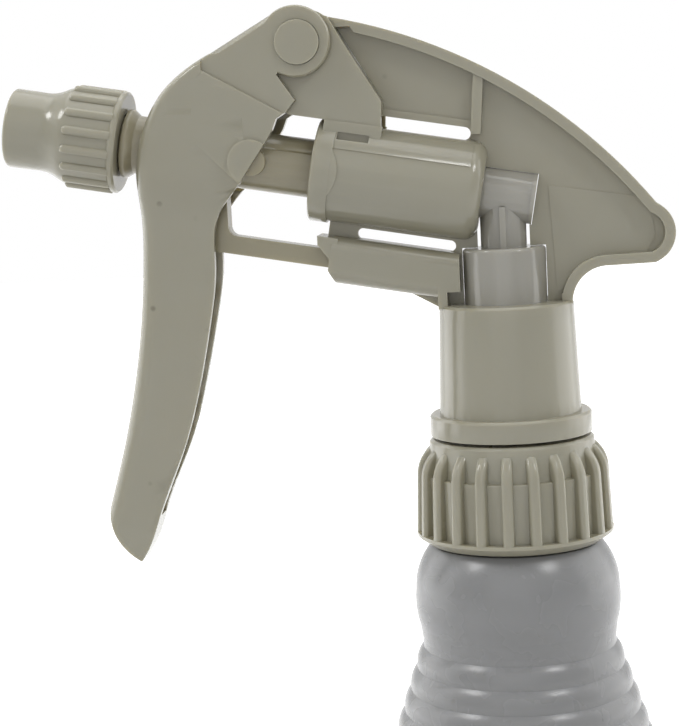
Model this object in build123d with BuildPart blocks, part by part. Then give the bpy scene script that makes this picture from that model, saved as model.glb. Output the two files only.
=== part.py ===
from build123d import *
from math import atan, cos, degrees, radians, sin
import os

os.makedirs("parts", exist_ok=True)

# A hand mister: a blown bottle, a screw closure and a trigger pump whose hollow rod carries the
# nozzle. Z is up and the bottle stands on z = 0. The nozzle points to -X and the tail fin to +X.
# Skirt and closure are placed from the seat, the underside of the head's flange. The pump, the fin
# and the trigger are placed from the point where the pump axis crosses the bottle's axis: their
# heights are over that point.

# Bottle
bottle_radius = 36.0
bottle_wall = 0.9
base_corner = 4.0
base_ring_inner = 12.0
base_ring_outer = 29.0
base_ring_depth = 1.6
body_top = 94.0
shoulder_top = 104.0
waist_radius = 17.15
waist_drop = 37.8
ring_count = 6
ring_pitch = 3.9
ring_rise = 0.5
flare_slope = 0.332
bulge_radius = 18.05
bulge_drop = 27.5
bulge_top_radius = 14.9
bulge_foot_inset = 0.55
bulge_foot_drop = 6.5
bulge_foot_lean = 0.3
waist_band = 1.2
neck_radius = 12.5
neck_bore = 10.8
neck_drop = 5.6
closure_to_bulge = 0.5
seat_z = 192.0

# Screw thread of the neck and the closure
thread_pitch = 4.233
thread_turns = 1.5
thread_height = 1.2
thread_base = 2.2
thread_crest = 1.2
thread_drop = 8.2
cap_thread_base = 1.5
cap_thread_crest = 0.8
cap_thread_turns = 1.0
thread_bite = 0.3

# Closure
cap_gap = 0.6
cap_top_wall = 1.8
cap_hole_clearance = 0.3
cap_top_radius = 14.4
cap_radius = 17.3
cap_edge = 0.5
cap_shelf_radius = 14.9
cap_floor_radius = 15.6
cap_shelf_drop = 6.6
cap_shelf_fall = 0.15
cap_bottom_drop = 18.9
cap_foot_radius = 15.6
cap_foot_height = 1.3
cap_foot_band = 0.6
cap_rib_count = 22
cap_rib_phase = 5.5
cap_rib_width = 2.0
cap_rib_top_drop = 2.2
cap_rib_knee_drop = 6.8
cap_rib_round = 0.76
cap_rib_draft = 0.45
cap_rib_head_radius = 14.6
cap_root_clearance = 0.3

# Skirt of the head frame
skirt_top = 22.9
skirt_top_radius = 11.7
skirt_foot_radius = 12.4
flange_radius = 14.15
flange_height = 3.7
skirt_bore = 9.6
spigot_radius = 11.0
skirt_roof = 2.0

# Pump axis, which crosses the bottle's axis above the seat and rises towards the nozzle
pump_height = 41.5
pump_tilt = 10.5
stroke = 7.6
barrel_radius = 8.6
barrel_bore = 7.25
barrel_rear = 5.8
barrel_front = 32.8
dome_length = 2.4
dome_radius = 5.6
collar_radius = 8.95
collar_length = 3.3
tongue_reach = 1.3
tongue_radius = 6.6
tongue_sink = 0.05
collar_edge = 0.3
saddle_radius = 8.72
saddle_rise = 4.3

# Fin, bracket and slots of the head frame
web_thickness = 1.6
rim_thickness = 1.8
rim_half_width = 3.0
frame_fillet = 0.4
frame_sink = 0.2
frame_bite = 0.5
fin_front = (-28.4, 31.9)
fin_crown = (1.9, 19.6)
fin_back = (26.3, -2.5)
tail_tip = (29.3, -8.3)
tail_foot = (25.8, -12.6)
tail_root = (18.0, -12.8)
tail_bend = (13.4, -14.5)
rib_front = -4.9
rib_width = 1.7
slot_inner = 8.5
slot_outer = 10.7
slot_rear = 6.8
slot_front = 29.0
low_slot_inner = 9.0
low_slot_outer = 10.9
low_slot_rear = 6.6
low_slot_front = 23.9
pivot = (-33.5, 27.75)
stud_radius = 3.8
stud_proud = 0.55
bracket_half = 5.6
bracket_plate = 1.4
bracket_eye = 5.7
bracket_rear_top = (-24.3, 24.6)
bracket_rear_low = (-19.8, 17.1)
bracket_heel = (-20.1, 11.1)
bracket_foot = (-21.0, 8.5)
bracket_nose = (-36.1, 15.7)
strip_front = 31.8
strip_low = 4.5
throat_reach = 3.6
throat_rise = 2.5
throat_rear = 22.5
throat_floor = 10.4
ledge_step = 0.3
ledge_line = 8.85
ledge_rear = 21.8
window_rear = 23.7
window_front = 29.2
window_low = 5.8
window_high = 7.1
window_depth = 5.0
rib_top = 21.5
rib_lean = 0.9
rail_height = 1.2
rail_proud = 0.5
step_proud = 0.12
step_outline = [(8.0, 1.3), (25.0, -1.5), (26.0, -8.0), (24.0, -11.5), (17.0, -11.8), (11.5, -15.0),
                (9.0, -17.5)]

# Spring housing under the barrel, and the guide bar that runs in it
guide_drop = 14.95
housing_half_height = 4.05
housing_half_width = 4.4
housing_corner = 2.2
housing_front = 27.9
housing_bore_height = 5.4
housing_bore_width = 6.0
housing_bore_rear = 8.0
housing_rear = 3.5
block_inset = 0.1
block_gap = 0.5
pocket_front = 10.0
pocket_height = 2.4
mouth_bevel = 1.6
lip_lap = 1.0
lip_inset = 0.2
lip_slant = 0.3
lip_reach = 2.7
lip_drop = 11.2
lip_thickness = 1.6
bar_height = 3.2
bar_width = 4.4
foot_clearance = 0.3
foot_length = 3.0
foot_front = 25.5
spring_wire = 0.7
spring_turns = 7
spring_radius = 1.95

# Riser elbow, its plug and the inlet valve
riser_radius = 7.2
riser_fall = 9.0
riser_round = 0.6
riser_bite = 1.0
riser_wall = 1.3
riser_barrel_radius = 9.3
riser_barrel_wall = 1.4
upright_radius = 4.0
elbow_radius = 4.4
elbow_bore = 2.4
elbow_rear = 5.7
elbow_fit = 0.1
upright_rib = 1.0
plug_head = 0.8
plug_wall = 0.75
rib_fall = 2.0
stem_radius = 3.6
stem_bore = 1.5
plug_length = 3.5
fit_gap = 0.05
window_clearance = 0.1

# Tube retainer, gasket, dip tube and inlet ball
retainer_drop = 2.6
retainer_thickness = 1.4
retainer_radius = 13.2
retainer_boss_radius = 7.8
retainer_boss_top = 8.4
gasket_bore = 10.0
tube_radius = 3.0
tube_wall = 0.7
tube_socket_top = 3.6
tube_end_gap = 5.0
tube_end_slant = 4.0
seat_hole = 1.5
seat_land = 0.8
ball_gap = 0.02
seat_cone_top = 6.6
ball_radius = 2.4
ball_chamber = 3.0
ball_lift = 1.0

# Pump cylinder, rod and nozzle
cylinder_wall = 1.2
cylinder_fit = 0.05
cylinder_floor = 1.5
cylinder_front = 29.0
rod_radius = 5.1
rod_bore = 2.0
rod_core = 4.0
piston_length = 5.5
piston_rear = 16.0
piston_clearance = 0.05
piston_lip = 0.6
piston_land = 1.4
guide_front = 32.2
rod_front = 80.5
rod_collar_radius = 6.0
rod_collar_rear = 64.6
rod_collar_cone = 1.2
rod_collar_length = 2.0
nose_radius = 4.6
pin_station = 43.3
pin_radius = 2.4
pin_half_length = 6.9
link_front = -51.5
link_rear = -47.9
link_fillet = 1.6

nozzle_rear = 67.0
nozzle_front = 87.4
nozzle_rim_radius = 8.95
nozzle_floor_radius = 8.45
nozzle_rib_front = 76.6
nozzle_rim_length = 1.3
nozzle_throat_radius = 6.9
nozzle_throat = 81.5
nozzle_tip_radius = 6.95
nozzle_rib_count = 16
nozzle_rib_phase = 8.0
nozzle_rib_width = 1.7
nozzle_rib_sink = 0.15
nozzle_rib_round = 0.75
nozzle_edge = 0.35
nozzle_tip_round = 0.6
nozzle_shoulder_length = 0.9
nozzle_shoulder_fall = 0.3
nozzle_throat_slope = 0.55
nozzle_lead = 0.6
nozzle_bore = 4.9
nozzle_end_gap = 0.5
nozzle_insert_radius = 2.6
nozzle_insert_flange = 3.6
nozzle_recess_radius = 4.4
nozzle_recess_depth = 1.6
nozzle_recess_flare = 0.4
insert_gap = 0.8
insert_wall = 1.0
insert_flange_height = 0.6
orifice = 0.35
spinner_length = 2.2
spinner_slot_depth = 1.6
spinner_slot_width = 0.9
valve_bore = 3.2
valve_room = 10.0
valve_cone = 0.4
poppet_radius = 2.8
poppet_head = 1.0
poppet_stem = 1.2
poppet_length = 3.6
valve_spring_radius = 1.9
valve_spring_wire = 0.4
valve_spring_turns = 4
seal_radius = 0.7
seal_station = 77.0

# Trigger
trigger_wall = 1.5
hollow_drop = 1.2
ear_half = 7.2
main_half = 7.7
ear_inner = 5.95
trigger_eye = 6.1
eye_shift = -0.45
eye_lift = 0.2
# Level, front, rear, half width and corner round of each section
trigger_sections = [
    (-63.5, -73.4, -67.7, 3.6, 2.9), (-53.1, -72.6, -62.6, 3.7, 3.0), (-42.5, -69.4, -58.0, 3.9, 3.1),
    (-29.2, -66.2, -53.9, 4.3, 3.1), (-19.5, -64.5, -51.7, 4.6, 2.9), (-9.5, -63.4, -50.2, 4.9, 2.7),
    (-0.4, -63.0, -48.7, 5.6, 2.5), (6.6, -63.1, -43.5, 7.3, 2.4), (11.5, -62.3, -43.5, 7.7, 2.3),
    (16.1, -60.5, -43.5, 7.7, 2.2), (19.8, -58.2, -43.5, 7.7, 2.1), (22.1, -56.0, -43.5, 7.7, 2.0),
    (24.8, -52.3, -43.5, 7.7, 2.0), (26.6, -49.0, -43.5, 7.7, 2.0)]
tip_front = (-72.4, -51.8)
tip_low = (-71.0, -58.2)
tip_rear = (-66.7, -62.5)
ear_start = (-50.8, 25.6)
ear_top = (-37.6, 32.9)
ear_root = (-53.0, 12.5)
trigger_notch = (-37.3, 22.4)
trigger_heel = (-34.4, 18.0)
trigger_cheek = [(-36.2, 15.9), (-37.7, 15.0), (-38.5, 13.1), (-40.9, 9.5), (-42.6, 7.2), (-44.7, 4.2)]
ear_ledge_front = (-50.2, 23.9)
ear_ledge_rear = (-36.1, 15.6)
trigger_reach = 14.0
stud_fit = 0.08
boss_radius = 3.85
boss_proud = 0.55
slot_fit = 0.15
slot_play = 0.5
tube_opening_side = 0.6
trigger_round = 2.4
hollow_round = 0.5

# Derived places
tilt = radians(pump_tilt)
pump_origin = Vector(0, 0, seat_z + pump_height)
pump_dir = Vector(-cos(tilt), 0, sin(tilt))
side = Plane(origin=pump_origin, x_dir=(1, 0, 0), z_dir=(0, -1, 0))
bore_side = Plane(origin=pump_origin, x_dir=pump_dir, z_dir=(0, 1, 0))
pump_axis = Axis(pump_origin, pump_dir)
riser_top = pump_height - riser_fall
valve_rear = rod_front - valve_room


def bore_plane(station, drop=0.0):
    """Plane square to the pump axis, looking towards the nozzle, with local y up."""
    up = Vector(sin(tilt), 0, cos(tilt))
    return Plane(origin=pump_origin + pump_dir * station - up * drop, x_dir=(0, -1, 0), z_dir=pump_dir)


def on_axis(station, rise=0.0):
    """Side-view point (x, height) of a place on or above the pump axis."""
    return (-station * cos(tilt) + rise * sin(tilt), station * sin(tilt) + rise * cos(tilt))


def save(piece, name):
    piece.part.label = name
    export_step(piece.part, f"parts/{name}.step")


# The bottle's wall is the space between two profiles that differ by an inset
def bottle_profile(inset, neck):
    rim = seat_z - neck_drop
    bulge = seat_z - bulge_drop
    shelf = seat_z - cap_bottom_drop - closure_to_bulge - inset
    waist = seat_z - waist_drop
    middle = (base_ring_inner + base_ring_outer) / 2
    Polyline((neck, rim), (0, rim), (0, inset), (base_ring_inner, inset))
    ThreePointArc((base_ring_inner, inset), (middle, inset + base_ring_depth), (base_ring_outer, inset))
    Line((base_ring_outer, inset), (bottle_radius - base_corner, inset))
    TangentArc((bottle_radius - base_corner, inset), (bottle_radius - inset, base_corner), tangent=(1, 0))
    Line((bottle_radius - inset, base_corner), (bottle_radius - inset, body_top))
    valleys = []
    for i in range(ring_count + 1):
        fall = i * ring_pitch
        valleys.append((waist_radius + flare_slope * fall - inset, waist - fall))
    flare_end = (valleys[-1][0] + flare_slope * (valleys[-1][1] - shoulder_top), shoulder_top)
    TangentArc((bottle_radius - inset, body_top), flare_end, tangent=(0, 1))
    Line(flare_end, valleys[-1])
    for upper, lower in zip(valleys, valleys[1:]):
        crest = ((upper[0] + lower[0]) / 2 + ring_rise, (upper[1] + lower[1]) / 2)
        ThreePointArc(upper, crest, lower)
    bulge_foot = (bulge_radius - inset - bulge_foot_inset, bulge - bulge_foot_drop)
    Line(valleys[0], (valleys[0][0], valleys[0][1] + waist_band))
    Line((valleys[0][0], valleys[0][1] + waist_band), bulge_foot)
    TangentArc(bulge_foot, (bulge_radius - inset, bulge), tangent=(bulge_foot_lean, 1))
    TangentArc((bulge_radius - inset, bulge), (bulge_top_radius - inset, shelf), tangent=(0, 1))
    Polyline((bulge_top_radius - inset, shelf), (neck, shelf), (neck, rim))


def thread_ridge(radius, bottom, turns, root, tip, height, outwards):
    """Helical ridge that starts at the height bottom and bites into the wall it stands on."""
    length = turns * thread_pitch
    reach = 1 if outwards else -1
    with BuildPart() as ridge:
        with BuildLine() as path:
            Helix(pitch=thread_pitch, height=length, radius=radius, center=(0, 0, bottom))
        start = path.line @ 0
        along = path.line % 0
        with BuildSketch(Plane(origin=start, x_dir=(1, 0, 0), z_dir=along)):
            with BuildLine():
                Polyline((-reach * thread_bite, -root / 2), (0, -root / 2), (reach * height, -tip / 2),
                         (reach * height, tip / 2), (0, root / 2), (-reach * thread_bite, root / 2),
                         close=True)
            make_face()
        sweep(path=path.wires()[0], is_frenet=True)
    return ridge


neck_thread_bottom = seat_z - thread_drop - thread_turns * thread_pitch
neck_thread = thread_ridge(neck_radius, neck_thread_bottom, thread_turns, thread_base, thread_crest,
                           thread_height,
                           True)
with BuildPart() as bottle:
    with BuildSketch(Plane.XZ):
        with BuildLine():
            bottle_profile(0, neck_radius)
        make_face()
    revolve(axis=Axis.Z)
    add(neck_thread.part)
    with BuildSketch(Plane.XZ):
        with BuildLine():
            bottle_profile(bottle_wall, neck_bore)
        make_face()
    revolve(axis=Axis.Z, mode=Mode.SUBTRACT)
save(bottle, "bottle")

cap_top = seat_z - cap_gap
cap_bottom = seat_z - cap_bottom_drop
cap_root_radius = neck_radius + thread_height + cap_root_clearance
cap_hole_radius = spigot_radius + cap_hole_clearance
shelf_z = seat_z - cap_shelf_drop

# One rounded grip rib of the closure, standing on its skirt
rib_foot = cap_bottom + cap_foot_height
rib_knee = (cap_radius - cap_rib_draft, seat_z - cap_rib_knee_drop)
rib_head = (cap_rib_head_radius, seat_z - cap_rib_top_drop)
with BuildPart() as cap_rib:
    with BuildSketch(Plane.XZ):
        with BuildLine():
            Polyline(rib_head, (cap_root_radius, rib_head[1]), (cap_root_radius, rib_foot),
                     (cap_radius, rib_foot),
                     rib_knee)
            TangentArc(rib_knee, rib_head, tangent=(-cap_rib_draft, rib_knee[1] - rib_foot))
        make_face()
    extrude(amount=cap_rib_width / 2, both=True)
    flanks = cap_rib.edges().filter_by(lambda e: abs(e.center().Y) > cap_rib_round / 2 and e.center().X > cap_floor_radius)
    fillet(flanks.filter_by(lambda e: abs(e.tangent_at(0.5).Z) > 0.3), cap_rib_round)

cap_thread = thread_ridge(cap_root_radius, neck_thread_bottom - thread_pitch / 2, cap_thread_turns,
                          cap_thread_base,
                          cap_thread_crest, thread_height, False)
with BuildPart() as closure_cap:
    with BuildSketch(Plane.XZ):
        with BuildLine():
            Polyline((cap_hole_radius, cap_top), (cap_top_radius - cap_edge, cap_top),
                     (cap_top_radius, cap_top - cap_edge), (cap_shelf_radius, shelf_z),
                     (cap_floor_radius, shelf_z - cap_shelf_fall),
                     (cap_floor_radius, cap_bottom + cap_foot_height + cap_foot_band),
                     (cap_radius, cap_bottom + cap_foot_height + cap_foot_band),
                     (cap_radius, cap_bottom + cap_foot_height), (cap_foot_radius, cap_bottom),
                     (cap_root_radius, cap_bottom), (cap_root_radius, cap_top - cap_top_wall),
                     (cap_hole_radius, cap_top - cap_top_wall), close=True)
        make_face()
    revolve(axis=Axis.Z)
    with PolarLocations(0, cap_rib_count, start_angle=cap_rib_phase):
        add(cap_rib.part)
    add(cap_thread.part)
save(closure_cap, "closure_cap")

with BuildPart() as neck_gasket:
    with BuildSketch(Plane.XY.offset(seat_z - neck_drop)):
        Circle(retainer_radius)
        Circle(gasket_bore, mode=Mode.SUBTRACT)
    extrude(amount=neck_drop - retainer_drop - retainer_thickness)
save(neck_gasket, "neck_gasket")

# Inlet: retainer, tube and ball
seat_floor = seat_z + tube_socket_top + seat_land
cone_top = seat_z + seat_cone_top
with BuildPart() as tube_retainer:
    with BuildSketch(Plane.XZ):
        with BuildLine():
            Polyline((0, seat_z - retainer_drop), (retainer_radius, seat_z - retainer_drop),
                     (retainer_radius, seat_z - retainer_drop - retainer_thickness),
                     (0, seat_z - retainer_drop - retainer_thickness), close=True)
        make_face()
        with BuildLine():
            Polyline((0, seat_z - retainer_drop), (retainer_boss_radius, seat_z - retainer_drop),
                     (retainer_boss_radius, seat_z + retainer_boss_top), (0, seat_z + retainer_boss_top),
                     close=True)
        make_face()
        with BuildLine():
            Polyline((0, seat_z - retainer_drop - retainer_thickness),
                     (tube_radius, seat_z - retainer_drop - retainer_thickness),
                     (tube_radius, seat_z + tube_socket_top), (seat_hole, seat_z + tube_socket_top),
                     (seat_hole, seat_floor), (ball_chamber, cone_top),
                     (ball_chamber, seat_z + retainer_boss_top),
                     (0, seat_z + retainer_boss_top), close=True)
        make_face(mode=Mode.SUBTRACT)
    revolve(axis=Axis.Z)
save(tube_retainer, "tube_retainer")

# The ball rests on the cone: its centre stands off the cone's wall by one ball radius
cone_angle = atan((ball_chamber - seat_hole) / (cone_top - seat_floor))
ball_rest = seat_floor + ball_radius / sin(cone_angle) - seat_hole * cos(cone_angle) / sin(cone_angle) + ball_gap
with BuildPart(Plane.XY.offset(ball_rest)) as inlet_ball:
    Sphere(ball_radius)
save(inlet_ball, "inlet_ball")

tube_end = bottle_wall + base_ring_depth + tube_end_gap
with BuildPart() as dip_tube:
    with BuildSketch(Plane.XY.offset(tube_end)):
        Circle(tube_radius)
        Circle(tube_radius - tube_wall, mode=Mode.SUBTRACT)
    extrude(amount=seat_z + tube_socket_top - tube_end)
    with BuildSketch(Plane.XZ):
        with BuildLine():
            Polyline((-tube_radius - 1, tube_end - 1), (tube_radius + 1, tube_end - 1),
                     (tube_radius + 1, tube_end + tube_end_slant), close=True)
        make_face()
    extrude(amount=tube_radius + 1, both=True, mode=Mode.SUBTRACT)
save(dip_tube, "dip_tube")

# Riser, pump cylinder and guide
ball_stop = ball_rest + ball_radius + ball_lift
roof_z = seat_z + skirt_top - skirt_roof
riser_foot = seat_z - retainer_drop
with BuildPart() as riser_elbow:
    with BuildSketch(Plane.XZ):
        with BuildLine():
            Polyline((stem_bore, ball_stop), (stem_radius, ball_stop), (stem_radius, roof_z - riser_wall),
                     (riser_barrel_radius - riser_barrel_wall, roof_z - riser_wall),
                     (riser_barrel_radius - riser_barrel_wall, riser_foot),
                     (riser_barrel_radius, riser_foot),
                     (riser_barrel_radius, roof_z), (riser_radius, roof_z),
                     (riser_radius, seat_z + riser_top),
                     (stem_bore, seat_z + riser_top), close=True)
        make_face()
    revolve(axis=Axis.Z)
    rim_edges = riser_elbow.edges().filter_by(GeomType.CIRCLE).group_by(Axis.Z)[-1].sort_by(SortBy.RADIUS)
    fillet(rim_edges[-1], riser_round)
    with BuildSketch(Plane.XY.offset(seat_z + riser_top - riser_bite)):
        Circle(upright_radius)
    extrude(amount=riser_fall + riser_bite)
    with BuildSketch(Plane.XY.offset(seat_z + riser_top - riser_bite)):
        Rectangle(upright_rib, 2 * (upright_radius + upright_rib / 2))
    extrude(amount=riser_fall + riser_bite - rib_fall)
    with BuildSketch(bore_plane(plug_head - elbow_rear)):
        Circle(elbow_radius)
    extrude(amount=barrel_rear + elbow_rear - plug_head)
    with BuildSketch(bore_plane(plug_head - elbow_rear)):
        Circle(elbow_bore)
    extrude(amount=barrel_rear + elbow_rear - plug_head, mode=Mode.SUBTRACT)
    with BuildSketch(Plane.XY.offset(ball_stop)):
        Circle(stem_bore)
    extrude(amount=seat_z + pump_height - ball_stop, mode=Mode.SUBTRACT)
save(riser_elbow, "riser_elbow")

with BuildPart() as riser_plug:
    with BuildSketch(bore_plane(-elbow_rear)):
        Circle(elbow_radius)
    extrude(amount=plug_head)
    with BuildSketch(bore_plane(plug_head - elbow_rear)):
        Circle(elbow_bore - fit_gap)
        Circle(elbow_bore - plug_wall, mode=Mode.SUBTRACT)
    extrude(amount=plug_length)
save(riser_plug, "riser_plug")

cylinder_radius = barrel_bore - cylinder_fit
cylinder_bore = cylinder_radius - cylinder_wall
with BuildPart() as pump_cylinder:
    with BuildSketch(bore_plane(barrel_rear)):
        Circle(cylinder_radius)
    extrude(amount=cylinder_front - barrel_rear)
    with BuildSketch(bore_plane(barrel_rear + cylinder_floor)):
        Circle(cylinder_bore)
    extrude(amount=cylinder_front - barrel_rear, mode=Mode.SUBTRACT)
    with BuildSketch(bore_plane(barrel_rear)):
        Circle(elbow_bore)
    extrude(amount=cylinder_floor, mode=Mode.SUBTRACT)
save(pump_cylinder, "pump_cylinder")

with BuildPart() as rod_guide:
    with BuildSketch(bore_plane(cylinder_front)):
        Circle(cylinder_radius)
        Circle(rod_radius + fit_gap, mode=Mode.SUBTRACT)
    extrude(amount=guide_front - cylinder_front)
save(rod_guide, "rod_guide")

# Sliding rod and its valve
bar_drop_high = guide_drop - bar_height / 2
bar_drop_low = guide_drop + bar_height / 2
foot_height = housing_bore_height - 2 * foot_clearance
foot_width = housing_bore_width - 2 * foot_clearance
foot_rear = foot_front - foot_length
piston_front = piston_rear + piston_length
with BuildPart() as pump_slide:
    with BuildSketch(bore_side):
        with BuildLine():
            Polyline((piston_rear, 0), (piston_rear, rod_core), (piston_front, rod_core),
                     (piston_front, rod_radius),
                     (rod_collar_rear, rod_radius), (rod_collar_rear + rod_collar_cone, rod_collar_radius),
                     (rod_collar_rear + rod_collar_length, rod_collar_radius),
                     (rod_collar_rear + rod_collar_length, nose_radius), (rod_front, nose_radius),
                     (rod_front, 0), close=True)
        make_face()
    revolve(axis=pump_axis)
    # The link drops from the rod to the guide bar, with a rounded inner corner
    link_top = on_axis(-link_rear, -rod_core)[1]
    bar_end = on_axis(foot_rear, -bar_drop_high)
    bar_corner = (link_rear, bar_end[1] + (bar_end[0] - link_rear) * sin(tilt) / cos(tilt))
    bar_nose = (link_front, bar_corner[1] + (link_rear - link_front) * sin(tilt) / cos(tilt))
    bar_fall = bar_height / cos(tilt)
    with BuildSketch(side) as link_face:
        with BuildLine():
            Polyline((link_front, link_top), (link_rear, link_top), bar_corner, bar_end,
                     on_axis(foot_rear, -bar_drop_low), (link_front, bar_nose[1] - bar_fall), close=True)
        make_face()
        inner_corner = link_face.vertices().sort_by_distance((*bar_corner, 0))[0]
        fillet(inner_corner, link_fillet)
    extrude(amount=bar_width / 2, both=True)
    with BuildSketch(bore_plane(foot_rear, guide_drop)):
        Rectangle(foot_width, foot_height)
    extrude(amount=foot_length)
    with BuildSketch(side):
        with Locations(on_axis(pin_station)):
            Circle(pin_radius)
    extrude(amount=pin_half_length, both=True)
    with BuildSketch(bore_plane(piston_rear)):
        Circle(rod_bore)
    extrude(amount=rod_front - piston_rear, mode=Mode.SUBTRACT)
    with BuildSketch(bore_plane(valve_rear)):
        Circle(valve_bore)
    extrude(amount=rod_front - valve_rear, mode=Mode.SUBTRACT)
    with BuildSketch(bore_plane(seal_station - seal_radius - fit_gap)):
        Circle(nose_radius + seal_radius)
        Circle(nozzle_bore - 2 * seal_radius - 2 * fit_gap, mode=Mode.SUBTRACT)
    extrude(amount=2 * (seal_radius + fit_gap), mode=Mode.SUBTRACT)
save(pump_slide, "pump_slide")

# Piston cup: a sleeve on the rod's end whose lips run in the cylinder
piston_radius = cylinder_bore - piston_clearance
with BuildPart() as piston_cup:
    with BuildSketch(bore_side):
        with BuildLine():
            Polyline((piston_rear, rod_core), (piston_rear, piston_radius - piston_lip),
                     (piston_rear + piston_lip, piston_radius), (piston_rear + piston_land, piston_radius),
                     (piston_rear + piston_land + piston_lip, piston_radius - piston_lip),
                     (piston_front - piston_land - piston_lip, piston_radius - piston_lip),
                     (piston_front - piston_land, piston_radius),
                     (piston_front - piston_lip, piston_radius),
                     (piston_front, piston_radius - piston_lip), (piston_front, rod_core), close=True)
        make_face()
    revolve(axis=pump_axis)
save(piston_cup, "piston_cup")


def coil(station, length, drop, radius, wire, turns, name):
    """Round-wire compression spring whose wire ends touch both of its seats."""
    seat = bore_plane(station, drop)
    with BuildPart() as spring:
        with BuildLine() as path:
            Helix(pitch=(length - wire) / turns, height=length - wire, radius=radius,
                  center=seat.origin + pump_dir * wire / 2, direction=pump_dir)
        start = path.line @ 0
        with BuildSketch(Plane(origin=start, x_dir=seat.x_dir, z_dir=path.line % 0)):
            Circle(wire / 2)
        sweep(path=path.wires()[0], is_frenet=True)
    save(spring, name)


coil(housing_bore_rear, foot_rear - housing_bore_rear, guide_drop, spring_radius, spring_wire, spring_turns,
     "return_spring")

spinner_rear = rod_front - spinner_length
with BuildPart() as discharge_poppet:
    with BuildSketch(bore_side):
        with BuildLine():
            Polyline((valve_rear - poppet_head, 0), (valve_rear - fit_gap, rod_bore - valve_cone),
                     (valve_rear + fit_gap, rod_bore - 2 * fit_gap), (valve_rear + fit_gap, poppet_radius),
                     (valve_rear + poppet_head, poppet_radius), (valve_rear + poppet_head, poppet_stem),
                     (valve_rear + poppet_length, poppet_stem), (valve_rear + poppet_length, 0), close=True)
        make_face()
    revolve(axis=pump_axis)
save(discharge_poppet, "discharge_poppet")

coil(valve_rear + poppet_head, spinner_rear - valve_rear - poppet_head, 0, valve_spring_radius,
     valve_spring_wire,
     valve_spring_turns, "discharge_spring")

with BuildPart() as spinner:
    with BuildSketch(bore_plane(spinner_rear)):
        Circle(valve_bore - fit_gap)
        with PolarLocations(valve_bore, 3):
            Rectangle(spinner_slot_depth, spinner_slot_width, mode=Mode.SUBTRACT)
    extrude(amount=spinner_length)
save(spinner, "spinner")

# Nozzle
with BuildPart() as nozzle_seal:
    with BuildSketch(bore_side):
        with Locations((seal_station, nozzle_bore - seal_radius - fit_gap)):
            Circle(seal_radius)
    revolve(axis=pump_axis)
save(nozzle_seal, "nozzle_seal")

nozzle_shoulder = nozzle_rib_front + nozzle_shoulder_length
shoulder_radius = nozzle_floor_radius - nozzle_shoulder_fall
rim_front = nozzle_rear + nozzle_rim_length
with BuildPart() as nozzle_rib:
    with BuildSketch(bore_plane(rim_front - nozzle_edge)):
        with Locations((0, nozzle_floor_radius - nozzle_rib_sink)):
            Circle(nozzle_rib_width / 2)
    extrude(amount=nozzle_rib_front - rim_front + nozzle_edge)
    fillet(nozzle_rib.faces().sort_by(pump_axis)[-1].edges(), nozzle_rib_round)

nozzle_face = nozzle_front - nozzle_recess_depth
with BuildPart() as nozzle_cap:
    with BuildSketch(bore_side):
        with BuildLine():
            Polyline((nozzle_shoulder, shoulder_radius), (nozzle_rib_front, nozzle_floor_radius),
                     (rim_front, nozzle_floor_radius), (rim_front, nozzle_rim_radius - nozzle_edge),
                     (rim_front - nozzle_edge, nozzle_rim_radius),
                     (nozzle_rear + nozzle_edge, nozzle_rim_radius),
                     (nozzle_rear, nozzle_rim_radius - nozzle_edge), (nozzle_rear, 0), (nozzle_front, 0),
                     (nozzle_front, nozzle_tip_radius - nozzle_tip_round))
            TangentArc((nozzle_front, nozzle_tip_radius - nozzle_tip_round),
                       (nozzle_front - nozzle_tip_round, nozzle_tip_radius), tangent=(0, 1))
            Line((nozzle_front - nozzle_tip_round, nozzle_tip_radius),
                 (nozzle_throat, nozzle_throat_radius))
            Spline((nozzle_throat, nozzle_throat_radius), (nozzle_shoulder, shoulder_radius),
                   tangents=[(-1, 0), (-1, nozzle_throat_slope)])
        make_face()
    revolve(axis=pump_axis)
    for i in range(nozzle_rib_count):
        add(nozzle_rib.part.rotate(pump_axis, nozzle_rib_phase + i * 360 / nozzle_rib_count))
    with BuildSketch(bore_side):
        with BuildLine():
            Polyline((nozzle_rear, 0), (nozzle_rear, nozzle_bore + nozzle_lead),
                     (nozzle_rear + nozzle_lead, nozzle_bore), (rod_front + nozzle_end_gap, nozzle_bore),
                     (rod_front + nozzle_end_gap, nozzle_insert_radius),
                     (nozzle_face, nozzle_insert_radius),
                     (nozzle_face, nozzle_recess_radius), (nozzle_front,
                                                           nozzle_recess_radius + nozzle_recess_flare),
                     (nozzle_front, 0), close=True)
        make_face()
    revolve(axis=pump_axis, mode=Mode.SUBTRACT)
save(nozzle_cap, "nozzle_cap")

with BuildPart() as nozzle_insert:
    with BuildSketch(bore_plane(rod_front + insert_gap)):
        Circle(nozzle_insert_radius - fit_gap)
    extrude(amount=nozzle_face - rod_front - insert_gap)
    with BuildSketch(bore_plane(nozzle_face)):
        Circle(nozzle_insert_flange)
    extrude(amount=insert_flange_height)
    with BuildSketch(bore_plane(rod_front + insert_gap)):
        Circle(nozzle_insert_radius - insert_wall)
    extrude(amount=nozzle_face - rod_front - insert_gap - insert_wall, mode=Mode.SUBTRACT)
    with BuildSketch(bore_plane(rod_front)):
        Circle(orifice)
    extrude(amount=nozzle_front - rod_front, mode=Mode.SUBTRACT)
save(nozzle_insert, "nozzle_insert")

# Head frame: skirt, fin web with its rim, pump barrel, spring housing and trigger bracket
skirt_z = seat_z + skirt_top
fin_foot = skirt_top_radius - frame_sink
foot_z = skirt_top - frame_bite - pump_height


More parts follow.
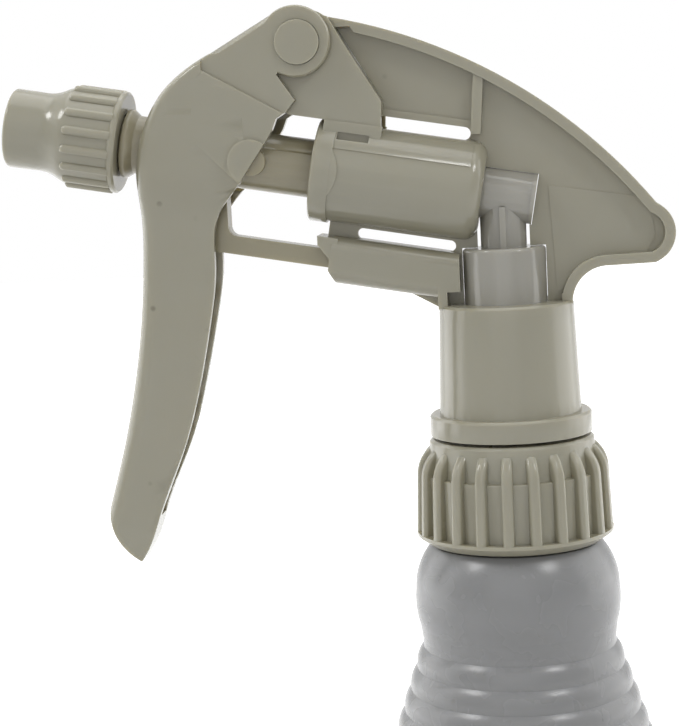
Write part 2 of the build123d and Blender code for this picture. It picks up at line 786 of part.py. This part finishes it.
def fin_chain():
    """Outer edge of the fin from the bracket over the top and the tail to the skirt."""
    ThreePointArc(fin_front, fin_crown, fin_back)
    ThreePointArc(fin_back, tail_tip, tail_foot)
    Line(tail_foot, tail_root)
    ThreePointArc(tail_root, tail_bend, (fin_foot, foot_z))


# The rim is the band along that edge; the band of the closing lines is cut off again
rim_end = fin_foot - rim_thickness
with BuildPart() as fin_rim:
    with BuildSketch(side):
        with BuildLine():
            fin_chain()
            Polyline((fin_foot, foot_z), (0, foot_z), fin_front)
        make_face()
        offset(amount=-rim_thickness, kind=Kind.INTERSECTION, mode=Mode.SUBTRACT)
        with BuildLine():
            Polyline((fin_front[0], foot_z - rim_thickness), (rim_end, foot_z - rim_thickness),
                     (rim_end, foot_z + rim_thickness), (upright_radius, foot_z + 2 * rim_thickness),
                     (fin_front[0] + 2 * rim_thickness, fin_front[1] - rim_thickness),
                     (fin_front[0], fin_front[1] - rim_thickness), close=True)
        make_face(mode=Mode.SUBTRACT)
    extrude(amount=rim_half_width, both=True)

# Trigger bracket: two plates with the pivot studs, closed at the back and on top
with BuildPart() as bracket:
    with BuildSketch(side):
        with Locations(pivot):
            Circle(bracket_eye)
        with BuildLine():
            Polyline((pivot[0], pivot[1] + bracket_eye), fin_front, bracket_rear_top, bracket_rear_low,
                     bracket_heel,
                     bracket_foot, on_axis(strip_front, strip_low), on_axis(strip_front, ledge_line),
                     bracket_nose,
                     (pivot[0] - bracket_eye, pivot[1]), close=True)
        make_face()
    extrude(amount=bracket_half - ledge_step, both=True)
    with BuildSketch(side):
        with BuildLine():
            Polyline(bracket_heel, bracket_foot, on_axis(strip_front, strip_low),
                     on_axis(strip_front, ledge_line),
                     on_axis(ledge_rear, ledge_line), close=True)
        make_face()
    extrude(amount=bracket_half, both=True)
    with BuildSketch(side):
        with BuildLine():
            Polyline((pivot[0] - 2 * bracket_eye, pivot[1] + 2 * bracket_eye),
                     (pivot[0] + throat_reach, pivot[1] + 2 * bracket_eye),
                     (pivot[0] + throat_reach, pivot[1] + throat_rise),
                     (bracket_rear_top[0] - bracket_plate, bracket_rear_top[1]),
                     (bracket_rear_low[0] - bracket_plate, bracket_rear_low[1]),
                     on_axis(throat_rear, throat_floor),
                     on_axis(pin_station, throat_floor), close=True)
        make_face()
    extrude(amount=bracket_half - bracket_plate, both=True, mode=Mode.SUBTRACT)
    with BuildSketch(side.offset(bracket_half - bracket_plate)):
        with Locations(pivot):
            Circle(stud_radius)
    extrude(amount=ear_half + stud_proud - bracket_half + bracket_plate)
    with BuildSketch(side.offset(bracket_plate - bracket_half)):
        with Locations(pivot):
            Circle(stud_radius)
    extrude(amount=bracket_half - bracket_plate - ear_half - stud_proud)

with BuildPart() as collar_tongue:
    with BuildSketch(bore_plane(barrel_front - collar_length - tongue_reach)):
        Circle(collar_radius - tongue_sink)
    extrude(amount=collar_length / 2 + tongue_reach)
    with BuildSketch(bore_side):
        with Locations((barrel_front - collar_length + tongue_radius - tongue_reach, 0)):
            Circle(tongue_radius)
    extrude(amount=2 * collar_radius, both=True, mode=Mode.INTERSECT)

# Spring housing with its lip, and the block that joins it to the skirt
block_front = skirt_top_radius - block_inset
block_rear = riser_radius + block_gap
block_drop = guide_drop - housing_half_height + housing_corner
lip_low = lip_drop + lip_thickness
with BuildPart() as housing:
    with BuildSketch(bore_plane(housing_rear, guide_drop)):
        RectangleRounded(2 * housing_half_width, 2 * housing_half_height, housing_corner)
    extrude(amount=housing_front - housing_rear)
    with BuildSketch(side):
        with BuildLine():
            Polyline(on_axis(housing_front - lip_lap, -lip_drop),
                     on_axis(housing_front + lip_reach, -lip_drop),
                     on_axis(housing_front + lip_reach - lip_slant, -lip_low),
                     on_axis(housing_front, -guide_drop),
                     on_axis(housing_front - lip_lap, -guide_drop), close=True)
        make_face()
    extrude(amount=housing_half_width - lip_inset, both=True)
    with BuildSketch(side):
        with BuildLine():
            Polyline((-block_front, foot_z), (-block_rear, foot_z), (-block_rear, -block_drop),
                     (-block_front, -block_drop), close=True)
        make_face()
    extrude(amount=housing_half_width, both=True)
    with BuildSketch(side):
        with BuildLine():
            Polyline((-block_rear, foot_z - frame_bite), (0, foot_z - frame_bite), (0, 0), (-block_rear, 0),
                     close=True)
        make_face()
    extrude(amount=2 * housing_half_width, both=True, mode=Mode.SUBTRACT)
    # Pockets left and right of the web, over the skirt's top
    for face in (1, -1):
        with BuildSketch(side.offset(face * web_thickness / 2)):
            with BuildLine():
                Polyline((-pocket_front, skirt_top - pump_height), (-block_rear, skirt_top - pump_height),
                         (-block_rear, skirt_top - pump_height + pocket_height),
                         (-pocket_front, skirt_top - pump_height + pocket_height), close=True)
            make_face()
        extrude(amount=face * housing_half_width, mode=Mode.SUBTRACT)

# Raised flat along the top of the barrel
with BuildPart() as saddle:
    with BuildSketch(bore_plane(barrel_rear)):
        Circle(saddle_radius)
        with Locations((0, saddle_rise + saddle_radius)):
            Rectangle(2 * saddle_radius, 2 * saddle_radius, mode=Mode.INTERSECT)
    extrude(amount=barrel_front - collar_length - barrel_rear)

with BuildPart() as body_frame:
    with BuildSketch(Plane.XZ):
        with BuildLine():
            Polyline((0, seat_z - retainer_drop), (spigot_radius, seat_z - retainer_drop),
                     (spigot_radius, seat_z),
                     (flange_radius, seat_z), (flange_radius, seat_z + flange_height - frame_fillet),
                     (flange_radius - frame_fillet, seat_z + flange_height),
                     (skirt_foot_radius, seat_z + flange_height),
                     (skirt_top_radius, skirt_z - frame_fillet),
                     (skirt_top_radius - frame_fillet, skirt_z), (0, skirt_z), close=True)
        make_face()
    revolve(axis=Axis.Z)
    with BuildSketch(side):
        with BuildLine():
            fin_chain()
            Polyline((fin_foot, foot_z), (-fin_foot, foot_z), on_axis(housing_front - lip_reach,
                                                                      -guide_drop),
                     on_axis(slot_front, -lip_low), on_axis(slot_front, -barrel_bore),
                     on_axis(slot_front, slot_outer), bracket_rear_low, fin_front)
        make_face()
    extrude(amount=web_thickness / 2, both=True)
    add(fin_rim.part)
    # Barrel with its rounded rear end and the collar round its mouth
    with BuildSketch(bore_side):
        with BuildLine():
            Polyline((barrel_rear - dome_length, dome_radius), (barrel_rear - dome_length, 0),
                     (barrel_front, 0),
                     (barrel_front, collar_radius - collar_edge),
                     (barrel_front - collar_edge, collar_radius),
                     (barrel_front - collar_length, collar_radius),
                     (barrel_front - collar_length, barrel_radius),
                     (barrel_rear, barrel_radius))
            TangentArc((barrel_rear, barrel_radius), (barrel_rear - dome_length, dome_radius),
                       tangent=(-1, 0))
        make_face()
    revolve(axis=pump_axis)
    add(saddle.part)
    add(collar_tongue.part)
    add(bracket.part)
    add(housing.part)
    # Rib from the rim down to the slot, rail along the slot and step of the lower web
    with BuildSketch(side):
        with BuildLine():
            Polyline((rib_front, slot_outer), (rib_front + rib_width, slot_outer),
                     (rib_front + rib_lean + rib_width, rib_top), (rib_front + rib_lean, rib_top),
                     close=True)
        make_face()
    extrude(amount=rim_half_width - frame_fillet, both=True)
    with BuildSketch(side):
        with BuildLine():
            Polyline(on_axis(slot_rear, slot_inner), on_axis(slot_front, slot_inner),
                     on_axis(slot_front, slot_outer + rail_height),
                     on_axis(slot_rear, slot_outer + rail_height),
                     close=True)
        make_face()
    extrude(amount=web_thickness / 2 + rail_proud, both=True)
    with BuildSketch(side):
        with BuildLine():
            Polyline(*step_outline, close=True)
        make_face()
    extrude(amount=web_thickness / 2 + step_proud, both=True)
    # Bores and hollows
    with BuildSketch(bore_plane(barrel_rear)):
        Circle(barrel_bore)
    extrude(amount=barrel_front - barrel_rear, mode=Mode.SUBTRACT)
    with BuildSketch(bore_plane(barrel_rear - 2 * dome_length)):
        Circle(elbow_radius + elbow_fit)
    extrude(amount=3 * dome_length, mode=Mode.SUBTRACT)
    with BuildSketch(bore_plane(housing_bore_rear, guide_drop)):
        Rectangle(housing_bore_width, housing_bore_height)
    extrude(amount=housing_front + lip_reach - housing_bore_rear, mode=Mode.SUBTRACT)
    with BuildSketch(side):
        with BuildLine():
            Polyline(on_axis(housing_front + mouth_bevel, -guide_drop),
                     on_axis(housing_front - mouth_bevel, -guide_drop - housing_half_height),
                     on_axis(housing_front, -guide_drop - 2 * housing_half_height),
                     on_axis(housing_front + mouth_bevel, -guide_drop - 2 * housing_half_height),
                     close=True)
        make_face()
    extrude(amount=2 * housing_half_width, both=True, mode=Mode.SUBTRACT)
    with BuildSketch(Plane.XY.offset(seat_z - retainer_drop)):
        Circle(skirt_bore)
    extrude(amount=skirt_top - skirt_roof + retainer_drop, mode=Mode.SUBTRACT)
    with BuildSketch(Plane.XY.offset(seat_z + skirt_top - skirt_roof)):
        Circle(riser_radius + fit_gap)
    extrude(amount=skirt_roof, mode=Mode.SUBTRACT)
    # Room round the riser above the skirt
    with BuildSketch(Plane.XY.offset(skirt_z)):
        Circle(riser_radius + window_clearance)
    extrude(amount=riser_top - skirt_top + window_clearance, mode=Mode.SUBTRACT)
    with BuildSketch(Plane.XY.offset(skirt_z)):
        Circle(upright_radius + upright_rib / 2 + window_clearance)
    extrude(amount=pump_height - skirt_top, mode=Mode.SUBTRACT)
    with BuildSketch(bore_plane(-elbow_rear - window_clearance)):
        Circle(elbow_radius + window_clearance)
    extrude(amount=elbow_rear + window_clearance + barrel_rear - dome_length, mode=Mode.SUBTRACT)
    # Slots above and below the barrel
    with BuildSketch(bore_side):
        with Locations(((slot_rear + slot_front) / 2, (slot_inner + slot_outer) / 2)):
            SlotOverall(slot_front - slot_rear, slot_outer - slot_inner)
        with Locations(((low_slot_rear + low_slot_front) / 2, -(low_slot_inner + low_slot_outer) / 2)):
            SlotOverall(low_slot_front - low_slot_rear, low_slot_outer - low_slot_inner)
    extrude(amount=bracket_half - bracket_plate, both=True, mode=Mode.SUBTRACT)
    # Narrow windows in the bracket's feet
    for face in (1, -1):
        with BuildSketch(side.offset(face * window_depth)):
            with BuildLine():
                Polyline(on_axis(window_rear, window_low), on_axis(window_front, window_low),
                         on_axis(window_front, window_high), on_axis(window_rear, window_high), close=True)
            make_face()
        extrude(amount=face * bracket_half, mode=Mode.SUBTRACT)
save(body_frame, "body_frame")

# Trigger: a channel open to the rear, lofted through level sections
pin_place = on_axis(pin_station)
pin_arm = (pivot[0] - pin_place[0], pivot[1] - pin_place[1])
pin_distance = (pin_arm[0] ** 2 + pin_arm[1] ** 2) ** 0.5
axis_distance = pivot[1] * cos(tilt) + pivot[0] * sin(tilt)
slot_reach = pin_distance - axis_distance + slot_play


def lever(sections, shift, drop, reach, thin, widest, round_share):
    """Loft through level sections with rounded front corners; the amounts turn the outside into the hollow."""
    faces = []
    for level, front, rear, half, corner in sections:
        width = 2 * min(half - thin, widest)
        with BuildSketch(Plane.XY.offset(pump_origin.Z + level - drop)) as section:
            with Locations(((front + shift + rear + reach) / 2, 0)):
                Rectangle(rear + reach - front - shift, width)
            fillet(section.vertices().group_by(Axis.X)[0], corner * round_share)
        faces.append(section.sketch)
    with BuildPart() as body:
        loft(faces)
    return body


lever_solid = lever(trigger_sections, 0, 0, 0, 0, main_half, 1)
lever_hollow = lever(trigger_sections[1:], trigger_wall, hollow_drop, trigger_reach, trigger_wall,
                     ear_inner,
                     hollow_round)
eye_place = (pivot[0] + eye_shift, pivot[1] + eye_lift)
cheek_low = trigger_cheek[-1]

with BuildPart() as trigger_disc:
    with BuildSketch(side):
        with Locations(eye_place):
            Circle(trigger_eye)
    extrude(amount=main_half, both=True)
    fillet(trigger_disc.edges().filter_by(GeomType.CIRCLE), ear_half - ear_inner)

with BuildPart() as trigger_ear:
    with BuildSketch(side):
        with BuildLine():
            Polyline(ear_start, ear_top, eye_place, trigger_notch, trigger_heel, *trigger_cheek, ear_root,
                     close=True)
        make_face()
    extrude(amount=main_half, both=True)
    ear_edges = trigger_ear.edges().filter_by(lambda e: e.center().Z > pump_origin.Z + pivot[1])
    fillet(ear_edges.filter_by(lambda e: abs(e.center().Y) > main_half / 2), trigger_round)

with BuildPart() as trigger:
    add(lever_solid.part)
    with BuildSketch(side):
        with BuildLine():
            ThreePointArc(tip_front, tip_low, tip_rear)
            Polyline(tip_rear, (tip_rear[0] + trigger_reach, tip_rear[1]),
                     (tip_rear[0] + trigger_reach, tip_rear[1] - trigger_reach),
                     (tip_front[0] - trigger_reach, tip_rear[1] - trigger_reach),
                     (tip_front[0] - trigger_reach, tip_front[1]), tip_front)
        make_face()
    extrude(amount=main_half, both=True, mode=Mode.SUBTRACT)
    add(trigger_ear.part)
    add(trigger_disc.part)
    # Ears, set in from the sides above the ledge line
    for face in (1, -1):
        with BuildSketch(side.offset(face * ear_half)):
            with BuildLine():
                Polyline(ear_ledge_front, ear_ledge_rear, (pivot[0] + 3 * trigger_eye,
                                                           pivot[1] - trigger_eye),
                         (pivot[0] + 3 * trigger_eye, pivot[1] + 3 * trigger_eye),
                         (ear_ledge_front[0], pivot[1] + 3 * trigger_eye), close=True)
            make_face()
        extrude(amount=face * trigger_eye, mode=Mode.SUBTRACT)
    # Round bosses over the pins
    with BuildSketch(side):
        with Locations(pin_place):
            Circle(boss_radius)
    extrude(amount=main_half + boss_proud, both=True)
    with BuildSketch(side):
        with BuildLine():
            Polyline(*trigger_cheek[1:], (cheek_low[0] + boss_radius, cheek_low[1] - boss_radius),
                     (trigger_cheek[1][0] + boss_radius, trigger_cheek[1][1]), close=True)
        make_face()
    extrude(amount=main_half + 2 * boss_proud, both=True, mode=Mode.SUBTRACT)
    add(lever_hollow.part, mode=Mode.SUBTRACT)
    with BuildSketch(side):
        with BuildLine():
            Polyline((ear_start[0] - 3 * trigger_wall, ear_start[1] - 3 * trigger_wall),
                     (ear_start[0] + trigger_wall / 2, ear_start[1] - trigger_wall),
                     (ear_top[0] + trigger_wall / 2, ear_top[1] - trigger_wall),
                     (pivot[0] + trigger_reach, ear_top[1] - trigger_wall),
                     (pivot[0] + trigger_reach, cheek_low[1] - trigger_wall),
                     (cheek_low[0] - 3 * trigger_wall, cheek_low[1] - trigger_wall), close=True)
        make_face()
    extrude(amount=ear_inner, both=True, mode=Mode.SUBTRACT)
    # Blind slots for the pins, open to the rear, and holes for the studs
    slot_turn = degrees(atan(pin_arm[0] / pin_arm[1]))
    with BuildSketch(side):
        with Locations(pin_place):
            with Locations(Rotation(0, 0, -slot_turn)):
                SlotCenterToCenter(2 * slot_reach, 2 * (pin_radius + slot_fit), rotation=90)
    extrude(amount=pin_half_length + slot_fit, both=True, mode=Mode.SUBTRACT)
    with BuildSketch(side):
        with Locations(pivot):
            Circle(stud_radius + stud_fit)
    extrude(amount=2 * main_half, both=True, mode=Mode.SUBTRACT)
    # Room for the bracket's eye and, in the front wall, for the rod
    with BuildSketch(side):
        with BuildLine():
            Polyline((pivot[0] - bracket_eye - trigger_wall, pivot[1] - trigger_eye),
                     (pivot[0] + 2 * trigger_eye, pivot[1] - trigger_eye),
                     (pivot[0] + 2 * trigger_eye, pivot[1] + 2 * trigger_eye),
                     (pivot[0] - bracket_eye - trigger_wall, pivot[1] + 2 * trigger_eye), close=True)
        make_face()
    extrude(amount=ear_inner, both=True, mode=Mode.SUBTRACT)
    opening_half = rod_radius + tube_opening_side
    with BuildSketch(bore_plane(pin_station + 2 * boss_radius)):
        Circle(opening_half)
        with Locations((0, (stroke + tube_opening_side) / 2)):
            Rectangle(2 * opening_half, stroke + tube_opening_side)
        with Locations((0, stroke + tube_opening_side)):
            Circle(opening_half)
    extrude(amount=nozzle_rear - pin_station, mode=Mode.SUBTRACT)
save(trigger, "trigger")
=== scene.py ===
from math import cos, radians, sin

import bpy
from mathutils import Matrix, Vector

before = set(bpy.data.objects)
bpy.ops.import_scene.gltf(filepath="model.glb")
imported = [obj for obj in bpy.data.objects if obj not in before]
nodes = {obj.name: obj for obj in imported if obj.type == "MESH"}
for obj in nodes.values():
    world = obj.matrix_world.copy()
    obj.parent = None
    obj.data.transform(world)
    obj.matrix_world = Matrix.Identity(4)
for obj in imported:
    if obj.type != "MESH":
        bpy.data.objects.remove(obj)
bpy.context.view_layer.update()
print("frame loaded:", len(nodes), "nodes")


# a node socket that takes part in sums
class Sock:
    def __init__(self, tree, socket):
        self.tree = tree
        self.socket = socket

    def maths(self, operation, other=None, swap=False):
        node = self.tree.nodes.new("ShaderNodeMath")
        node.operation = operation
        terms = [self] if other is None else [self, other]
        if swap:
            terms.reverse()
        for place, term in enumerate(terms):
            join(self.tree, term, node.inputs[place])
        return Sock(self.tree, node.outputs[0])

    def __add__(self, other): return self.maths("ADD", other)
    def __radd__(self, other): return self.maths("ADD", other, True)
    def __sub__(self, other): return self.maths("SUBTRACT", other)
    def __rsub__(self, other): return self.maths("SUBTRACT", other, True)
    def __mul__(self, other): return self.maths("MULTIPLY", other)
    def __rmul__(self, other): return self.maths("MULTIPLY", other, True)
    def __abs__(self): return self.maths("ABSOLUTE")
    def atLeast(self, other): return self.maths("MAXIMUM", other)
    def atMost(self, other): return self.maths("MINIMUM", other)
    def held(self): return self.atLeast(0).atMost(1)  # kept between 0 and 1


def join(tree, value, socket):
    if isinstance(value, Sock):
        tree.links.new(value.socket, socket)
    elif socket.type == "RGBA":
        socket.default_value = (*value, 1.0)
    else:
        socket.default_value = value


# the node tree of one material, or of the world
class Paint:
    def __init__(self, owner):
        self.owner = owner
        owner.use_nodes = True
        self.tree = owner.node_tree
        self.tree.nodes.clear()

    def node(self, kind, settings=None, sockets=None, give=0):
        made = self.tree.nodes.new("ShaderNode" + kind)
        for key, value in (settings or {}).items():
            setattr(made, key, value)
        for key, value in (sockets or {}).items():
            socket = next(one for one in made.inputs if key in (one.identifier, one.name))
            join(self.tree, value, socket)
        if len(made.outputs):
            return Sock(self.tree, made.outputs[give])

    def blend(self, amount, first, second):
        return self.node("Mix", {"data_type": "RGBA"},
                         {"Factor": amount, "A_Color": first, "B_Color": second}, 2)

    def close(self, shader, kind="OutputMaterial"):
        self.node(kind, None, {"Surface": shader})
        return self.owner


def newMaterial(name):
    return Paint(bpy.data.materials.new(name))


# moulded plastics: colour, colour of worn or stained places and of the painted shade in the hollows,
# roughness, grain depth and inner glow
plastics = {
    "ivory": dict(
        colour=(0.267, 0.256, 0.198), stainAndShade=(0.248, 0.221, 0.133), rough=0.20, grain=0.10, glow=0.40),
    "slideIvory": dict(
        colour=(0.262, 0.240, 0.163), stainAndShade=(0.190, 0.157, 0.090), rough=0.22, grain=0.10, glow=0.40),
    "natural": dict(
        colour=(0.288, 0.280, 0.247), stainAndShade=(0.250, 0.234, 0.183), rough=0.11, grain=0.06, glow=0.45),
    "bottleWhite": dict(
        colour=(0.190, 0.192, 0.193), stainAndShade=(0.177, 0.177, 0.175), rough=0.27, grain=0.12, glow=0.25),
}
# what all the plastics share: uneven tint, painted shade in the hollows (with a rougher surface there), a few
# dark specks and a faint grain
tints = dict(scale=45.0, detail=3.0, uneven=0.55, start=0.45, depth=0.5)
hollowShadeAndSoil = dict(reach=0.005, depth=0.6, base=0.2, rough=0.2)
specks = dict(scale=230.0, size=0.16, edge=14, start=0.585, depth=0.5, colour=(0.10, 0.08, 0.05))
grains = dict(fineScale=1100.0, fineUneven=0.6, fineShare=0.35, flowScale=160.0, flowBend=0.6, flowShare=0.65,
              reach=0.0003, roughSpread=0.10)
glows = dict(ior=1.5, reach=(0.0030, 0.0026, 0.0018))


def plastic(name, look, seam=None):
    paint = newMaterial(name + "Plastic")
    place = paint.node("TexCoord", give=3)
    cloud = paint.node("TexNoise", None, {
        "Vector": place, "Scale": tints["scale"], "Detail": tints["detail"], "Roughness": tints["uneven"]})
    fine = paint.node("TexNoise", None, {
        "Vector": place, "Scale": grains["fineScale"], "Detail": 2.0, "Roughness": grains["fineUneven"]})
    flow = paint.node("TexNoise", None, {
        "Vector": place, "Scale": grains["flowScale"], "Detail": 2.0, "Distortion": grains["flowBend"]})
    spot = paint.node("TexVoronoi", {"feature": "F1"}, {"Vector": place, "Scale": specks["scale"]})
    # painted shade: ambient occlusion darkens and yellows the colour in hollows, creases and between parts;
    # the same mask also raises the roughness there
    openness = paint.node("AmbientOcclusion", {"samples": 6}, {"Distance": hollowShadeAndSoil["reach"]}, 1)
    shadeAndSoil = (1 - openness).held() * hollowShadeAndSoil["depth"] * (cloud + hollowShadeAndSoil["base"])
    near = ((specks["size"] - spot) * specks["edge"]).held()
    speck = near * ((cloud - specks["start"]) * specks["edge"]).held()
    # the colour mix takes random uneven tone plus the painted shade of the hollows
    tintAndShade = ((cloud - tints["start"]) * tints["depth"] + shadeAndSoil).held()
    body = paint.blend(tintAndShade, look["colour"], look["stainAndShade"])
    marked = paint.blend(speck * specks["depth"], body, specks["colour"])
    height = fine * grains["fineShare"] + flow * grains["flowShare"]
    if seam:
        across = paint.node("SeparateXYZ", None, {"Vector": place}, seam["axis"])
        ridge = (1 - abs(across) * (1 / seam["half"])).held()
        height = height + ridge * seam["height"]
    bump = paint.node("Bump", None, {
        "Strength": look["grain"], "Distance": grains["reach"], "Height": height})
    rough = (flow - 0.5) * grains["roughSpread"] + look["rough"] + shadeAndSoil * hollowShadeAndSoil["rough"]
    shader = paint.node("BsdfPrincipled", None, {
        "Base Color": marked, "Roughness": rough, "Normal": bump, "IOR": glows["ior"],
        "Subsurface Weight": look["glow"], "Subsurface Radius": glows["reach"], "Subsurface Scale": 1.0})
    return paint.close(shader)


sealLook = dict(scale=1500.0, grain=0.2, reach=0.0002, dark=(0.05, 0.05, 0.052),
                pale=(0.09, 0.09, 0.09), rough=0.5, roughSpread=0.2)


def rubber(name):
    paint = newMaterial(name)
    place = paint.node("TexCoord", give=3)
    fine = paint.node("TexNoise", None, {"Vector": place, "Scale": sealLook["scale"], "Detail": 3.0})
    bump = paint.node("Bump", None, {
        "Strength": sealLook["grain"], "Distance": sealLook["reach"], "Height": fine})
    tone = paint.blend(fine, sealLook["dark"], sealLook["pale"])
    rough = fine * sealLook["roughSpread"] + sealLook["rough"]
    return paint.close(paint.node("BsdfPrincipled", None, {
        "Base Color": tone, "Roughness": rough, "Normal": bump}))


wireLook = dict(scale=1200.0, dark=(0.50, 0.50, 0.52), pale=(0.64, 0.64, 0.65), rough=0.22,
                roughSpread=0.15)


def steel(name):
    paint = newMaterial(name)
    place = paint.node("TexCoord", give=3)
    fine = paint.node("TexNoise", None, {"Vector": place, "Scale": wireLook["scale"], "Detail": 4.0})
    tone = paint.blend(fine, wireLook["dark"], wireLook["pale"])
    rough = fine * wireLook["roughSpread"] + wireLook["rough"]
    return paint.close(paint.node("BsdfPrincipled", None, {
        "Base Color": tone, "Roughness": rough, "Metallic": 1.0}))


# blown bottle: the mould's parting line runs down both sides, in the plane of the lever
bottleSeam = dict(axis=1, half=0.00030, height=1.2)
finishes = {
    "ivory": plastic("ivory", plastics["ivory"]),
    "slideIvory": plastic("slideIvory", plastics["slideIvory"]),
    "natural": plastic("natural", plastics["natural"]),
    "bottleWhite": plastic("bottleWhite", plastics["bottleWhite"], bottleSeam),
    "seal": rubber("sealRubber"),
    "steel": steel("springSteel"),
}
wearers = {
    "ivory": ["body_frame", "closure_cap", "trigger", "nozzle_cap", "nozzle_insert"],
    "slideIvory": ["pump_slide"],
    "natural": ["riser_elbow", "riser_plug", "pump_cylinder", "rod_guide", "tube_retainer", "dip_tube",
                "piston_cup", "spinner", "discharge_poppet"],
    "bottleWhite": ["bottle"],
    "seal": ["neck_gasket", "nozzle_seal"],
    "steel": ["return_spring", "discharge_spring", "inlet_ball"],
}
for finish, names in wearers.items():
    for name in names:
        mesh = nodes[name].data
        mesh.materials.clear()
        mesh.materials.append(finishes[finish])

# moulded edges are never sharp: width of the rounding on each piece
softEdges = {
    "body_frame": 0.00030,
    "trigger": 0.00035,
    "pump_slide": 0.00030,
    "nozzle_cap": 0.00020,
    "closure_cap": 0.00025,
    "riser_elbow": 0.00025,
}
edgeSet = dict(angle=radians(35), segments=3, mergeReach=0.000004)
for name, width in softEdges.items():
    weld = nodes[name].modifiers.new("weld", "WELD")
    weld.merge_threshold = edgeSet["mergeReach"]
    rounding = nodes[name].modifiers.new("rounding", "BEVEL")
    rounding.limit_method = "ANGLE"
    rounding.angle_limit = edgeSet["angle"]
    rounding.width = width
    rounding.segments = edgeSet["segments"]
    rounding.use_clamp_overlap = True
    rounding.harden_normals = True
print("finishes set")

# studio: the floor's own glow grows with distance, so that it meets the white sky without a line
room = dict(floorSide=6.0, floorDrop=0.0002, floorColour=(0.80, 0.80, 0.80), liftNear=0.66, liftFar=1.0,
            nearReach=0.25, farReach=0.90, skyGlow=0.48)
lamps = [
    dict(name="leftSoft", place=(-0.80, 0.22, 0.42), aim=(0, 0, 0.22), size=0.9, power=3.8),
    dict(name="rightSoft", place=(0.82, 0.30, 0.45), aim=(0, 0, 0.22), size=0.9, power=3.6),
    dict(name="topSoft", place=(0.0, 0.15, 1.10), aim=(0, 0, 0.22), size=0.9, power=3.6),
    dict(name="frontFill", place=(-0.10, -1.2, 0.70), aim=(0, 0, 0.2), size=1.2, power=2.6),
    dict(name="leftKey", place=(-0.64, -0.30, 0.93), aim=(0, 0, 0.22), size=0.22, power=2.4),
    dict(name="rightKey", place=(0.54, -0.45, 0.93), aim=(0, 0, 0.22), size=0.22, power=2.2),
]
cameraSet = dict(place=(0.0078, -0.330, 0.2461), azimuth=6.50, elevation=7.02, roll=-2.93, lens=100.3,
                 sensor=36.0, nearest=0.01)


def seenRay(paint):
    seen = paint.node("LightPath", give=0)  # camera
    glossy = paint.node("LightPath", give=3)
    through = paint.node("LightPath", give=6)  # transmission
    return (seen + glossy + through).atMost(1)


world = bpy.data.worlds.new("studioWorld")
bpy.context.scene.world = world
sky = Paint(world)
dim = sky.node("Background", None, {"Color": (1, 1, 1), "Strength": room["skyGlow"]})
white = sky.node("Background", None, {"Color": (1, 1, 1), "Strength": 1.0})
mixedSky = sky.node("MixShader", None, {"Fac": seenRay(sky), "Shader": dim, "Shader_001": white})
sky.close(mixedSky, "OutputWorld")

floorMesh = bpy.data.meshes.new("studioFloor")
half = room["floorSide"] / 2
corners = [(-half, -half, 0), (half, -half, 0), (half, half, 0), (-half, half, 0)]
floorMesh.from_pydata(corners, [], [(0, 1, 2, 3)])
floor = bpy.data.objects.new("studioFloor", floorMesh)
bpy.context.scene.collection.objects.link(floor)
floor.location.z = -room["floorDrop"]
floorPaint = newMaterial("floorPaint")
matt = floorPaint.node("BsdfDiffuse", None, {"Color": room["floorColour"]})
ground = floorPaint.node("TexCoord", give=3)
distance = floorPaint.node("VectorMath", {"operation": "LENGTH"}, {"Vector": ground}, 1)
fade = ((distance - room["nearReach"]) * (1 / (room["farReach"] - room["nearReach"]))).held()
liftColour = floorPaint.blend(fade, (room["liftNear"],) * 3, (room["liftFar"],) * 3)
lift = floorPaint.node("Emission", None, {"Color": liftColour, "Strength": 1.0})
unlit = floorPaint.node("Emission", None, {"Color": (0, 0, 0), "Strength": 0.0})
lit = floorPaint.node("MixShader", None, {"Fac": seenRay(floorPaint), "Shader": unlit, "Shader_001": lift})
surface = floorPaint.node("AddShader", None, {"Shader": matt, "Shader_001": lit})
floorMesh.materials.append(floorPaint.close(surface))

for lamp in lamps:
    light = bpy.data.lights.new(lamp["name"], "AREA")
    light.size = lamp["size"]
    light.energy = lamp["power"]
    holder = bpy.data.objects.new(lamp["name"], light)
    bpy.context.scene.collection.objects.link(holder)
    holder.location = lamp["place"]
    holder.rotation_euler = (Vector(lamp["aim"]) - Vector(lamp["place"])).to_track_quat("-Z", "Y").to_euler()

az, el, roll = (radians(cameraSet[key]) for key in ("azimuth", "elevation", "roll"))
back = Vector((sin(az) * cos(el), -cos(az) * cos(el), sin(el)))
level = Vector((cos(az), sin(az), 0))
upright = back.cross(level)
right = cos(roll) * level + sin(roll) * upright
up = cos(roll) * upright - sin(roll) * level
cameraData = bpy.data.cameras.new("mainCamera")
cameraData.sensor_fit = "HORIZONTAL"
cameraData.sensor_width = cameraSet["sensor"]
cameraData.lens = cameraSet["lens"]
cameraData.clip_start = cameraSet["nearest"]
camera = bpy.data.objects.new("mainCamera", cameraData)
bpy.context.scene.collection.objects.link(camera)
camera.matrix_world = Matrix.Translation(cameraSet["place"]) @ Matrix((right, up, back)).transposed().to_4x4()
bpy.context.scene.camera = camera
bpy.context.scene.view_settings.view_transform = "Standard"
print("studio and camera set")
